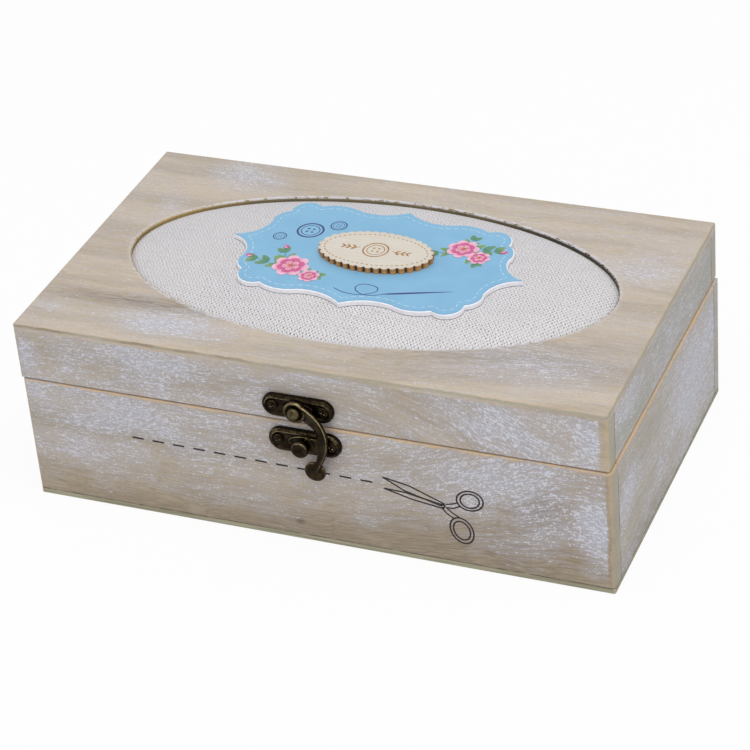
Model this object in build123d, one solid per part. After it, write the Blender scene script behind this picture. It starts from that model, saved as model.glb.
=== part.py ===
from build123d import *
import math
import os

# A wooden sewing box: a base with compartments and one lid, hinged along the back and held
# shut by a swing clasp on the front. A padded oval fills the opening in the lid's top board,
# and a shaped plaque with an oval label is glued on the pad.
# Sizes are in millimetres. The origin is the centre of the underside: X runs along the
# front from left to right, Y towards the back and Z up.

# Case
box_length = 240.0
box_depth = 141.0
base_height = 54.8
lid_height = 24.8
seam_gap = 0.4            # between the rims of the closed box
wall = 7.0
bottom_thickness = 2.4
top_board_thickness = 2.5
lid_shift = -0.8          # the lid hangs this far along X from the base
corner_radius = 1.6       # upright corners, sanded round
foot_radius = 0.8         # edges of the underside
lid_edge_radius = 1.4     # top edges of the lid
seam_radius = 0.8         # edges of both rims, at the front and the ends
rear_seam_radius = 2.0    # rear edges of both rims, where the open lid stops

# Compartments
divider_thickness = 4.0
divider_height = 38.0
groove_depth = 1.5        # the dividers' ends are let into the boards
long_divider_y = 14.0
front_compartments = 3    # of equal length, in front of the long divider

# Padded oval in the lid
oval_length = 200.5
oval_width = 104.5
oval_y = 1.8
oval_edge_radius = 0.6
pad_clearance = 0.3       # between the cloth and the wall of the oval
pad_rim_drop = 2.2        # the cloth meets that wall this far below the lid's top
pad_crown = 0.6           # the pad's flat seat stands this far above the lid's top
pad_seat_length = 100.0
cloth_thickness = 0.6
cloth_flange = 6.0        # turned out under the top board
backing_thickness = 2.5
backing_clearance = 0.3

# Plaque and label on the pad
plaque_length = 124.0
plaque_width = 71.0
plaque_thickness = 2.1
plaque_x = 0.6            # from the lid's middle
plaque_y = 7.0
plaque_turn = -2.3        # degrees, anticlockwise from above
print_thickness = 0.3
print_margin = 0.5
label_length = 47.6
label_width = 27.2
label_thickness = 2.4
label_y = 1.0             # from the plaque's middle
label_turn = 2.1          # degrees, from the plaque
scallop_radius = 1.75
scallop_count = 34
notch_depth = 0.9         # of the nicks between two scallops

# Swing clasp on the front. Heights are counted outwards from the front boards.
latch_x = -1.9            # middle of the upper plate, and the arm's pivot
latch_rise = 7.8          # of the pivot over the middle of the seam
latch_plate_length = 29.1
latch_plate_width = 9.8
latch_screw_inset = 4.2   # of each screw, from the plate's end
keeper_x = -0.4
keeper_drop = 7.5         # of the stud under the middle of the seam
keeper_plate_length = 29.6
keeper_plate_width = 10.2
keeper_screw_inset = 3.9  # of each screw, from the plate's end
plate_thickness = 1.2     # under the dishes
plate_rim_height = 2.3
plate_rim_width = 1.4     # between a dish and the plate's edge
plate_rim_radius = 0.7
boss_radius = 3.4
boss_height = 3.0
arm_gap = 0.15            # along the pivot, each side of the arm
arm_thickness = 1.85
arm_edge = 0.5            # chamfer round the arm's face
arm_corner_radius = 0.6   # in the arm's outline
arm_bow = 12.5            # how far the arm swings out to the right of its pivot
eye_radius = 4.6
rivet_radius = 1.2
rivet_clearance = 0.05
rivet_head_radius = 2.5
rivet_head_height = 1.7
stud_neck_radius = 2.5
stud_head_radius = 3.4
stud_height = 6.8
stud_edge_radius = 0.5
tooth_thickness = 0.9
tooth_clearance = 0.15    # to the stud's neck and head
tooth_width = 7.5
finger_radius = 4.3
finger_clearance = 0.3    # between the finger end and the rim of the plate that it passes
finger_edge_radius = 0.7

# Screws of the clasp
screw_head_radius = 2.2
screw_head_height = 1.1
screw_radius = 0.9
screw_bite = 4.8          # length in the wood
cross_length = 2.8
cross_width = 0.5
cross_depth = 0.5

# Hinges at the back
hinge_from_end = 45.0     # from the end of the box to the hinge's middle
hinge_length = 24.0
hinge_inset = 1.2         # of the pin's axis, from the rear face
leaf_thickness = 0.7
leaf_reach = 5.3          # from the pin's axis to the leaf's front edge
knuckle_radius = 1.8
knuckle_gap = 0.15
pin_radius = 0.8
pin_clearance = 0.05
notch_clearance = 0.4     # between the knuckles and the wood
hinge_screw_pitch = 14.0
hinge_screw_inset = 3.6   # from the pin's axis
hinge_screw_radius = 0.8
hinge_screw_head_radius = 1.5
hinge_screw_bite = 6.0

# Places worked out from the sizes above
front_face = -box_depth / 2
rear_face = box_depth / 2
seam_z = base_height + seam_gap / 2
lid_bottom = base_height + seam_gap
lid_top = lid_bottom + lid_height
lid_board_bottom = lid_top - top_board_thickness
inner_length = box_length - 2 * wall
inner_depth = box_depth - 2 * wall
pad_seat_z = lid_top + pad_crown
backing_top = lid_board_bottom - cloth_thickness
plaque_centre = (lid_shift + plaque_x, plaque_y)
hinge_x = box_length / 2 - hinge_from_end
arm_back = boss_height + arm_gap
arm_front = arm_back + arm_thickness
arm_drop = latch_rise + keeper_drop
hinge_y = rear_face - hinge_inset

parts = {}


def block(low_x, high_x, low_y, high_y, low_z, high_z):
    """Square block between six limits."""
    centre = ((low_x + high_x) / 2, (low_y + high_y) / 2, (low_z + high_z) / 2)
    return Pos(*centre) * Box(high_x - low_x, high_y - low_y, high_z - low_z)


def rounded_rectangle(width, height, low_left, low_right, high_right, high_left):
    """Rectangle on the origin with its own radius at each corner."""
    shape = Rectangle(width, height)
    corners = [(-1, -1, low_left), (1, -1, low_right), (1, 1, high_right), (-1, 1, high_left)]
    for side, level, radius in corners:
        corner = (side * width / 2, level * height / 2)
        shape = fillet(shape.vertices().sort_by_distance(corner)[0], radius)
    return shape


def sanded_form(middle_x, low_z, high_z, low_radius, high_radius, rear_low_radius, rear_high_radius):
    """Outer form of the base or the lid after sanding: a block with every edge rounded."""
    height = high_z - low_z
    plan = extrude(
        rounded_rectangle(box_length, box_depth, *[corner_radius] * 4), height / 2, both=True
    )
    front = rounded_rectangle(box_length, height, low_radius, low_radius, high_radius, high_radius)
    front = Plane.XZ * extrude(front, box_depth / 2, both=True)
    side = rounded_rectangle(
        box_depth, height, low_radius, rear_low_radius, rear_high_radius, high_radius
    )
    side = Plane.YZ * extrude(side, box_length / 2, both=True)
    return Pos(middle_x, 0, (low_z + high_z) / 2) * (plan & front & side)


def frame_boards(middle_x, low_z, high_z):
    """Four boards of a frame. The front and back ones run the full length, butted on the ends."""
    left = middle_x - box_length / 2
    right = middle_x + box_length / 2
    front_limit = front_face + wall
    rear_limit = rear_face - wall
    return {
        "front": block(left, right, front_face, front_limit, low_z, high_z),
        "back": block(left, right, rear_limit, rear_face, low_z, high_z),
        "left": block(left, left + wall, front_limit, rear_limit, low_z, high_z),
        "right": block(right - wall, right, front_limit, rear_limit, low_z, high_z),
    }


def on_front(x, z):
    """Plane on the front boards, facing out of them, with its Y axis upwards."""
    return Plane(origin=(x, front_face, z), x_dir=(1, 0, 0), z_dir=(0, -1, 0))


# Dividers: one along the box and two across its front half, let into shallow grooves
def long_divider():
    """Divider along the box, with its ends in the end boards."""
    reach = inner_length / 2 + groove_depth
    half = divider_thickness / 2
    return block(
        -reach, reach, long_divider_y - half, long_divider_y + half,
        bottom_thickness, bottom_thickness + divider_height,
    )


def cross_divider(x):
    """Divider from the front board back to the long divider."""
    half = divider_thickness / 2
    return block(
        x - half, x + half, -inner_depth / 2 - groove_depth,
        long_divider_y - half + groove_depth,
        bottom_thickness, bottom_thickness + divider_height,
    )


# Screws: a pan head with a cross recess for the clasp, a flat head for the hinges
def clasp_screw():
    """Pan-head screw standing on the origin, with its shank downwards."""
    head = extrude(Circle(screw_head_radius), screw_head_height)
    head = fillet(head.faces().sort_by(Axis.Z)[-1].edges(), screw_head_height / 2)
    recess = Box(cross_length, cross_width, 2 * cross_depth)
    recess += Box(cross_width, cross_length, 2 * cross_depth)
    return head + clasp_screw_hole() - Pos(0, 0, screw_head_height) * recess


def clasp_screw_hole():
    """Shank of a clasp screw, through the plate and into the wood."""
    return extrude(Circle(screw_radius), -(plate_thickness + screw_bite))


def hinge_screw():
    """Flat-head screw, its head flush with the leaf's face on the origin, its shank downwards."""
    head = Cone(hinge_screw_radius, hinge_screw_head_radius, leaf_thickness)
    shank = extrude(Circle(hinge_screw_radius), -(leaf_thickness + hinge_screw_bite))
    return Pos(0, 0, -leaf_thickness / 2) * head + shank


def pair(shape, pitch):
    """The same shape twice along X, that far apart."""
    return [Pos(-pitch / 2, 0, 0) * shape, Pos(pitch / 2, 0, 0) * shape]


# Swing clasp: two dished plates, the arm on its rivet, and the stud that it catches
def dished_plate(length, width, screw_inset):
    """Stamped plate with round ends and a round dish about each of its two screw holes."""
    plate = extrude(SlotOverall(length, width), plate_rim_height)
    plate = fillet(plate.faces().sort_by(Axis.Z)[-1].edges(), plate_rim_radius)
    dish = extrude(Circle(width / 2 - plate_rim_width), plate_rim_height)
    for sunk in pair(Pos(0, 0, plate_thickness) * dish, length - width):
        plate -= sunk
    for hole in pair(extrude(Circle(screw_radius), plate_thickness), length - 2 * screw_inset):
        plate -= hole
    return plate


def latch_plate():
    """Upper plate, with a boss that spaces the arm off its rim."""
    plate = dished_plate(latch_plate_length, latch_plate_width, latch_screw_inset)
    plate += extrude(Circle(boss_radius), boss_height)
    return plate - extrude(Circle(rivet_radius), boss_height)


def latch_rivet():
    """Rivet through the arm's eye into the boss, with a domed head."""
    head_base = arm_front + arm_gap
    dome_radius = (rivet_head_radius**2 + rivet_head_height**2) / (2 * rivet_head_height)
    dome = Pos(0, 0, head_base + rivet_head_height - dome_radius) * Sphere(dome_radius)
    dome &= Pos(0, 0, head_base) * extrude(Circle(rivet_head_radius), rivet_head_height)
    return dome + extrude(Circle(rivet_radius), head_base)


def keeper_stud():
    """Mushroom stud, riveted in the lower plate."""
    neck_top = arm_back + tooth_thickness + tooth_clearance
    head = Pos(0, 0, neck_top) * extrude(Circle(stud_head_radius), stud_height - neck_top)
    head = fillet(head.edges().filter_by(GeomType.CIRCLE), stud_edge_radius)
    return head + extrude(Circle(stud_neck_radius), stud_height)


def arm_point(bow_share, drop_share):
    """Point of the arm's outline, as shares of its bow and of the drop from pivot to stud."""
    return (bow_share * arm_bow, drop_share * arm_drop)


def eye_point(angle):
    """Point on the arm's eye at that angle."""
    return (eye_radius * math.cos(math.radians(angle)), eye_radius * math.sin(math.radians(angle)))


def latch_arm():
    """Bowed arm: an eye on the rivet, a tooth that hugs the stud's neck and a round finger end."""
    shoulder = eye_point(72)
    armpit = eye_point(-52)
    belly = arm_point(1.0, -0.74)
    neck_outside = arm_point(0.656, -1.569)
    neck_inside = arm_point(0.424, -1.608)
    waist = arm_point(0.624, -0.804)
    outline = ThreePointArc(shoulder, arm_point(0.6, 0.05), belly)
    outline += ThreePointArc(belly, arm_point(0.92, -1.19), neck_outside)
    outline += Line(neck_outside, neck_inside)
    outline += ThreePointArc(neck_inside, arm_point(0.552, -1.307), waist)
    outline += ThreePointArc(waist, arm_point(0.552, -0.379), armpit)
    outline += Line(armpit, shoulder)
    face = make_face(outline) + Circle(eye_radius)
    face = fillet(face.vertices(), arm_corner_radius)
    blade = Pos(0, 0, arm_back) * extrude(face, arm_thickness)
    blade = chamfer(blade.faces().sort_by(Axis.Z)[-1].edges(), arm_edge)

    stud = (keeper_x - latch_x, -arm_drop)
    tooth_reach = waist[0] + arm_edge - stud[0]
    tooth = Pos(stud[0] + tooth_reach / 2, stud[1]) * Rectangle(tooth_reach, tooth_width)
    tooth -= Pos(stud) * Circle(stud_neck_radius + tooth_clearance)
    tooth -= Pos(stud[0], stud[1]) * Rectangle(stud_neck_radius, tooth_width)
    blade += Pos(0, 0, arm_back) * extrude(tooth, tooth_thickness)

    finger_back = plate_rim_height + finger_clearance
    finger = extrude(Circle(finger_radius), arm_front - arm_edge - finger_back)
    finger = fillet(finger.edges().filter_by(GeomType.CIRCLE), finger_edge_radius)
    finger = Pos(*arm_point(0.472, -1.712), finger_back) * finger
    arm = blade + finger
    return arm - extrude(Circle(rivet_radius + rivet_clearance), 2 * arm_front)


# Butt hinges: two leaves let into the rims, and a pin
def hinge_leaf(own_knuckles, other_knuckles, bore_radius):
    """Leaf under the seam with its knuckles, the pin's axis on the origin along X."""
    leaf = block(
        -hinge_length / 2, hinge_length / 2, -leaf_reach, 0,
        -seam_gap / 2 - leaf_thickness, -seam_gap / 2,
    )
    for low, high in other_knuckles:
        leaf -= along_x(knuckle_radius + knuckle_gap, low - knuckle_gap, high + knuckle_gap)
    for low, high in own_knuckles:
        leaf += along_x(knuckle_radius, low, high)
    return leaf - along_x(bore_radius, -hinge_length, hinge_length)


def along_x(radius, low, high):
    """Round bar along X between two limits."""
    return Pos((low + high) / 2, 0, 0) * Rot(0, 90, 0) * Cylinder(radius, high - low)


def add_hinge(name, x, base_wood, lid_wood):
    """One hinge at that place. Returns the base's and the lid's rear boards, cut to take it."""
    reach = hinge_length / 2
    middle_reach = (hinge_length / 3 - knuckle_gap) / 2
    middle = [(-middle_reach, middle_reach)]
    ends = [(-reach, -middle_reach - knuckle_gap), (middle_reach + knuckle_gap, reach)]
    upright = Pos(x, hinge_y, seam_z)
    upturned = upright * Rot(180, 0, 0) * Rot(0, 0, 180)
    screws = pair(hinge_screw(), hinge_screw_pitch)
    screws = [Pos(0, -hinge_screw_inset, -seam_gap / 2) * screw for screw in screws]
    slot = Box(hinge_length, cross_width, leaf_thickness)
    slot = Pos(0, -hinge_screw_inset, -seam_gap / 2) * slot
    base_leaf = hinge_leaf(ends, middle, pin_radius)
    lid_leaf = hinge_leaf(middle, ends, pin_radius + pin_clearance)
    mortise = block(-reach, reach, -leaf_reach, 0, -seam_gap / 2 - leaf_thickness, 0)
    notch_reach = reach + notch_clearance
    notch = along_x(knuckle_radius + notch_clearance, -notch_reach, notch_reach)
    for tool in [mortise, notch, *screws]:
        base_wood -= upright * tool
        lid_wood -= upturned * tool
    for screw in screws:
        base_leaf -= screw
        lid_leaf -= screw
    parts[name + "_hinge_base_leaf"] = upright * base_leaf
    parts[name + "_hinge_lid_leaf"] = upturned * lid_leaf
    parts[name + "_hinge_pin"] = upright * along_x(pin_radius, -reach, reach)
    parts[name + "_hinge_base_screws"] = Compound([upright * (screw - slot) for screw in screws])
    parts[name + "_hinge_lid_screws"] = Compound([upturned * (screw - slot) for screw in screws])
    return base_wood, lid_wood


# Pad: cloth over wadding, domed through the oval in the lid
def pad_dome(inset):
    """Domed oval with a flat seat for the plaque, shrunk by the inset on its sides and top."""
    half_length = oval_length / 2 - pad_clearance - inset
    half_width = oval_width / 2 - pad_clearance - inset
    rim_z = lid_top - pad_rim_drop - inset
    seat_edge = (pad_seat_length / 2, pad_seat_z - inset)
    outline = Polyline(
        (half_length, rim_z), (half_length, backing_top), (0, backing_top), (0, seat_edge[1]), seat_edge
    )
    outline += TangentArc(seat_edge, (half_length, rim_z), tangent=(1, 0))
    dome = revolve(Plane.XZ * make_face(outline), Axis.Z)
    return Pos(lid_shift, oval_y, 0) * scale(dome, by=(1, half_width / half_length, 1))


def pad_flange():
    """Edge of the cloth, turned out flat between the top board and the backing board."""
    margin = cloth_flange - pad_clearance
    flange = extrude(Ellipse(oval_length / 2 + margin, oval_width / 2 + margin), cloth_thickness)
    return Pos(lid_shift, oval_y, backing_top) * flange


# Plaque: a board with a pointed and lobed outline, a printed sheet on it, and an oval label
def plaque_outline(inset):
    """Outline of the plaque, with points at its four ends and three lobes in each quarter."""
    half_length = plaque_length / 2 - inset
    half_width = plaque_width / 2 - inset
    shares = [
        (1.0, 0.0), (0.868, 0.155), (0.826, 0.38), (0.822, 0.54), (0.76, 0.648),
        (0.735, 0.83), (0.588, 0.848), (0.465, 0.92), (0.325, 0.872), (0.15, 0.87), (0.0, 1.0),
    ]
    points = [(along * half_length, across * half_width) for along, across in shares]
    quarter = ThreePointArc(points[0], points[1], points[2])
    for first in range(2, len(points) - 1, 2):
        quarter += ThreePointArc(points[first], points[first + 1], points[first + 2])
    half = quarter + mirror(quarter, Plane.YZ)
    return make_face(half + mirror(half, Plane.XZ))


def oval_label():
    """Oval of plywood with scallops round its edge."""
    half_length = label_length / 2 - scallop_radius
    half_width = label_width / 2 - scallop_radius
    to_notch = scallop_radius - notch_depth
    shape = Ellipse(half_length + to_notch, half_width + to_notch)
    ring = Ellipse(half_length, half_width).edge()
    for number in range(scallop_count):
        centre = ring @ (number / scallop_count)
        shape += Pos(centre.X, centre.Y) * Circle(scallop_radius)
    return extrude(shape, label_thickness)


# Base
base_form = sanded_form(0, 0, base_height, foot_radius, seam_radius, foot_radius, rear_seam_radius)
base_boards = frame_boards(0, bottom_thickness, base_height)
floor = block(-box_length / 2, box_length / 2, front_face, rear_face, 0, bottom_thickness)
along = long_divider()
across = [
    cross_divider(inner_length * (number / front_compartments - 0.5))
    for number in range(1, front_compartments)
]
base_boards = {side: board & base_form for side, board in base_boards.items()}
for divider in across:
    base_boards["front"] -= divider
base_boards["left"] -= along
base_boards["right"] -= along

# Lid
lid_form = sanded_form(
    lid_shift, lid_bottom, lid_top, seam_radius, lid_edge_radius, rear_seam_radius, lid_edge_radius
)
lid_boards = frame_boards(lid_shift, lid_bottom, lid_board_bottom)
lid_boards = {side: board & lid_form for side, board in lid_boards.items()}
top_board = lid_form & block(
    -box_length, box_length, front_face, rear_face, lid_board_bottom, lid_top
)
oval = Pos(lid_shift, oval_y, lid_board_bottom) * extrude(
    Ellipse(oval_length / 2, oval_width / 2), top_board_thickness
)
top_board -= oval
top_board = fillet(
    top_board.edges().group_by(Axis.Z)[-1].sort_by_distance((lid_shift, oval_y, lid_top))[0],
    oval_edge_radius,
)

# Hinges, cut into the rear boards
for name, side in [("left", -1), ("right", 1)]:
    base_boards["back"], lid_boards["back"] = add_hinge(
        name, side * hinge_x, base_boards["back"], lid_boards["back"]
    )

# Clasp, on the front boards
latch_place = on_front(latch_x, seam_z + latch_rise)
keeper_place = on_front(keeper_x, seam_z - keeper_drop)
parts["latch_plate"] = latch_place * latch_plate()
parts["latch_rivet"] = latch_place * latch_rivet()
parts["latch_arm"] = latch_place * latch_arm()
parts["keeper_stud"] = keeper_place * keeper_stud()
keeper_plate = dished_plate(keeper_plate_length, keeper_plate_width, keeper_screw_inset)
parts["keeper_plate"] = keeper_place * (keeper_plate - extrude(Circle(stud_neck_radius), plate_rim_height))
screws_on_plate = {
    "latch": (latch_place, latch_plate_length - 2 * latch_screw_inset, lid_boards),
    "keeper": (keeper_place, keeper_plate_length - 2 * keeper_screw_inset, base_boards),
}
for name, (place, pitch, boards) in screws_on_plate.items():
    raised = Pos(0, 0, plate_thickness)
    parts[name + "_screws"] = Compound([place * raised * one for one in pair(clasp_screw(), pitch)])
    for hole in pair(clasp_screw_hole(), pitch):
        boards["front"] -= place * raised * hole

# Everything else by name
parts["bottom_panel"] = floor & base_form
for side, board in base_boards.items():
    parts["base_" + side + "_board"] = board
for number, divider in enumerate(across, 1):
    parts["cross_divider_" + str(number)] = divider
    along -= divider
parts["long_divider"] = along
parts["lid_top_board"] = top_board
for side, board in lid_boards.items():
    parts["lid_" + side + "_rail"] = board
parts["pad_wadding"] = pad_dome(cloth_thickness)
parts["pad_fabric"] = pad_dome(0) + pad_flange() - parts["pad_wadding"]
half_backing = (inner_length / 2 - backing_clearance, inner_depth / 2 - backing_clearance)
parts["pad_backing_board"] = block(
    lid_shift - half_backing[0], lid_shift + half_backing[0], -half_backing[1], half_backing[1],
    backing_top - backing_thickness, backing_top,
)
plaque_place = Pos(*plaque_centre, pad_seat_z) * Rot(0, 0, plaque_turn)
print_place = plaque_place * Pos(0, 0, plaque_thickness)
label_place = print_place * Pos(0, label_y, print_thickness) * Rot(0, 0, label_turn)
parts["plaque_board"] = plaque_place * extrude(plaque_outline(0), plaque_thickness)
parts["plaque_face"] = print_place * extrude(plaque_outline(print_margin), print_thickness)
parts["oval_label"] = label_place * oval_label()

os.makedirs("parts", exist_ok=True)
for node, shape in parts.items():
    export_step(shape, "parts/" + node + ".step")
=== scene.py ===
import math

import bmesh
import bpy
from mathutils import Matrix, Quaternion, Vector


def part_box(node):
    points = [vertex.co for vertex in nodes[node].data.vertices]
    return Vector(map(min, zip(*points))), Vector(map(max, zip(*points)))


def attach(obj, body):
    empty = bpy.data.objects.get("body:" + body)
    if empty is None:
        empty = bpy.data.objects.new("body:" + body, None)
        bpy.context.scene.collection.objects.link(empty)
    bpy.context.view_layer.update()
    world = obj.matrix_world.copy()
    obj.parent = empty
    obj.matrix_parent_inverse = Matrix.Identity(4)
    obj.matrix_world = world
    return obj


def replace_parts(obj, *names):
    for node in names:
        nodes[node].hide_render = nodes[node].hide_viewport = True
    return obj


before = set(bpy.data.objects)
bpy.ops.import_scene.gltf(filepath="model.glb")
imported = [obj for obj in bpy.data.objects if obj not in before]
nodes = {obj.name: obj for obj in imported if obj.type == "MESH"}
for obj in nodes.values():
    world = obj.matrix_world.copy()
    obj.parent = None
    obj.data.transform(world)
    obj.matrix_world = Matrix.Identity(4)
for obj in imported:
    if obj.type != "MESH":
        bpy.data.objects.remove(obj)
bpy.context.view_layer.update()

mm = 0.001


# Camera: in front of the box, to its right and above it, held slightly out of level.
camera_place = Vector((381.97, -849.00, 642.60)) * mm
camera_aim = Vector((-1.58, 0.0, 31.69)) * mm
camera_tilt = math.radians(-5.046)
camera_lens = 134.086


def stood(name, data):
    """Object of this data, put into the scene."""
    thing = bpy.data.objects.new(name, data)
    bpy.context.scene.collection.objects.link(thing)
    return thing


camera = stood("camera", bpy.data.cameras.new("camera"))
camera.data.lens = camera_lens
camera.location = camera_place
camera.rotation_mode = "QUATERNION"
level_turn = (camera_aim - camera_place).to_track_quat("-Z", "Y")
camera.rotation_quaternion = level_turn @ Quaternion((0, 0, 1), camera_tilt)
bpy.context.scene.camera = camera


# Studio: a white floor that keeps a soft shadow, a white surround, one large soft lamp above the
# front right and a weaker one at the left.
floor_reach = 3.0
floor_white = "#F4F4F4"
floor_glow = 0.92        # share of the floor's look that is plain white paper
surround_light = 0.55
lamps = {                # place, size and power
    "lamp_above": ((0.36, -0.44, 1.62), 1.1, 14.6),
    "lamp_left": ((-1.5, -1.0, 0.8), 1.0, 1.0),
}


def srgb(code):
    """Linear colour of a hex value."""
    parts = [int(code[first:first + 2], 16) / 255 for first in (1, 3, 5)]
    return [c / 12.92 if c <= 0.04045 else ((c + 0.055) / 1.055) ** 2.4 for c in parts] + [1.0]


def wire(node, sockets):
    """Sets a node's inputs, by name or in their order, to a number, a hex colour or what another
    node gives."""
    shown = [socket for socket in node.inputs if socket.enabled]
    named = {socket.name: socket for socket in reversed(shown)}
    if not isinstance(sockets, dict):
        sockets, named = dict(enumerate(sockets)), shown
    for name, value in sockets.items():
        if isinstance(value, str):
            value = srgb(value)
        if isinstance(value, bpy.types.Node):
            value = [output for output in value.outputs if output.enabled][0]
        if isinstance(value, bpy.types.NodeSocket):
            tree.links.new(value, named[name])
        else:
            named[name].default_value = value


def add(kind, sockets=(), **settings):
    """Adds a node with its settings and links to the tree of the finish being made."""
    node = tree.nodes.new("ShaderNode" + kind)
    for name, value in settings.items():
        setattr(node, name, value)
    wire(node, sockets)
    return node


def surface(name, sockets):
    """Starts a finish, with what is the same all over it on the shader's own sockets. Gives the
    place of its points on the object too."""
    global tree
    material = bpy.data.materials.new(name)
    material.use_nodes = True
    tree = material.node_tree
    shader = tree.nodes["Principled BSDF"]
    wire(shader, sockets)
    return material, shader, add("TexCoord").outputs["Object"]


def shown_to_camera():
    """1 for rays that show a background: those of the camera, mirrors and glass."""
    path = add("LightPath").outputs
    seen = path["Is Camera Ray"]
    for ray in ("Is Glossy Ray", "Is Transmission Ray"):
        seen = add("Math", (seen, path[ray]), operation="MAXIMUM")
    return seen


def meshed(name, bm):
    """Object of a finished bmesh, put into the scene."""
    mesh = bpy.data.meshes.new(name)
    bm.to_mesh(mesh)
    bm.free()
    return stood(name, mesh)


bm = bmesh.new()
bmesh.ops.create_grid(bm, x_segments=1, y_segments=1, size=floor_reach)
floor = meshed("studio_floor", bm)
paper, shader, place = surface("white_paper", {"Base Color": floor_white, "Roughness": 0.9})
glow = add("Emission", {"Color": "#FFFFFF", "Strength": 1.0})
share = add("Math", (shown_to_camera(), floor_glow), operation="MULTIPLY")
both = add("MixShader", (share, shader, glow))
wire(tree.nodes["Material Output"], {"Surface": both})
floor.data.materials.append(paper)

world = bpy.data.worlds.new("white_surround")
world.use_nodes = True
bpy.context.scene.world = world
tree = world.node_tree
strength = add("MapRange", (shown_to_camera(), 0, 1, surround_light, 1))
wire(tree.nodes["Background"], {"Color": "#FFFFFF", "Strength": strength})

for name, (place, size, power) in lamps.items():
    lamp = bpy.data.lights.new(name, "AREA")
    lamp.size = size
    lamp.energy = power
    holder = stood(name, lamp)
    holder.location = place
    holder.rotation_euler = (camera_aim - Vector(place)).to_track_quat("-Z", "Y").to_euler()
bpy.context.scene.view_settings.view_transform = "Standard"


# Boards of the base and the lid: sawn pine, brushed with limewash and sanded back after
# gluing, so that chalky white stays in the grain and in the brush marks, while the arrises,
# the base's rim and the inside are bare tan wood.
tan_pale = "#C3B49E"
tan_deep = "#AFA08A"
tan_bare = "#CDB697"
tan_inside = "#D3BC94"
grain_dark = "#7E705E"
lime_white = "#E3E4EE"
lime_film = "#B9B9C4"
end_grain = "#A6A799"
edge_dark = "#7C6A54"
edge_green = "#A5A190"
rim_peach = "#D8B78E"
smudge_and_shade_brown = "#776A5E"
joint_dark = "#5D5244"
low_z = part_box("bottom_panel")[1].z
seam_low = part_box("base_front_board")[1].z
butt_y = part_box("base_right_board")[0].y
top_low, top_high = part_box("lid_top_board")
base_form = (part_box("bottom_panel")[0], Vector((*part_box("bottom_panel")[1].xy, seam_low)))
lid_form = (Vector((*top_low.xy, seam_low - 10 * mm)), top_high)


def marks(place, length, width, low, high, detail=2.0):
    """Marks drawn out along X, that long and wide in mm. Low and high set how many show."""
    scale = (1 / (length * mm), 1 / (width * mm), 1 / (width * mm))
    drawn = add("Mapping", {"Vector": place, "Scale": scale})
    noise = add("TexNoise", {"Vector": drawn, "Scale": 1.0, "Detail": detail, "Roughness": 0.55})
    return add("MapRange", (noise, low, high), interpolation_type="SMOOTHSTEP")


def spot(place, centre, reach):
    """Soft spot: 1 at its centre, in mm, and 0 past its reach along each axis."""
    near = add("Mapping", {"Vector": place, "Location": Vector(centre) * mm,
                           "Scale": Vector(reach) * mm}, vector_type="TEXTURE")
    return add("TexGradient", {"Vector": near}, gradient_type="SPHERICAL")


def overlap(*shares):
    """Share of the surface where all these shares meet: their product."""
    met = shares[0]
    for share in shares[1:]:
        met = add("Math", (met, share), operation="MULTIPLY")
    return met


def heap(ground, *parts):
    """Amount or height of a ground with parts laid on it, each times its weight."""
    for part, weight in parts:
        ground = add("Math", (part, weight, ground), operation="MULTIPLY_ADD")
    return ground


def coats(ground, *layers):
    """Colour of a ground under coats, the last on top. Each has its colour and the shares whose
    overlap it covers."""
    for colour, *shares in layers:
        ground = add("Mix", (overlap(*shares), ground, colour), data_type="RGBA")
    return ground


def dress(shader, colour, relief, strength, depth, **others):
    """Gives a surface its colour and its relief, that deep in mm."""
    bump = add("Bump", {"Height": relief, "Strength": strength, "Distance": depth * mm})
    wire(shader, {"Base Color": colour, "Normal": bump, **others})


def give(node, material):
    """Gives a CAD node its finish."""
    nodes[node].data.materials.clear()
    nodes[node].data.materials.append(material)


def depths(place, form):
    """How deep a point lies under the form's nearest face, how far from its nearest arris, and how
    far from its ends."""
    low, high = form
    aside = add("VectorMath", (place, (low + high) / 2), operation="SUBTRACT")
    aside = add("VectorMath", (aside,), operation="ABSOLUTE")
    under = add("VectorMath", ((high - low) / 2, aside), operation="SUBTRACT")
    x, y, z = add("SeparateXYZ", (under,)).outputs
    lesser = add("Math", (x, y), operation="MINIMUM")
    greater = add("Math", (x, y), operation="MAXIMUM")
    skin = add("Math", (lesser, z), operation="MINIMUM")
    second = add("Math", (greater, z), operation="MINIMUM")
    arris = add("Math", (lesser, second), operation="MAXIMUM")
    return skin, arris, x


def span(node):
    """Middle and half size of a CAD node."""
    low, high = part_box(node)
    return (low + high) / 2, (high - low) / 2


def in_oval(place, middle, half):
    """A point's place in an oval, -1 to 1 along each axis, and how far out it is, 1 at the rim."""
    ring = add("Mapping", {"Vector": place, "Location": middle, "Scale": (half.x, half.y, 1e6)},
               vector_type="TEXTURE")
    return ring, add("VectorMath", (ring,), operation="LENGTH").outputs["Value"]


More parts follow.
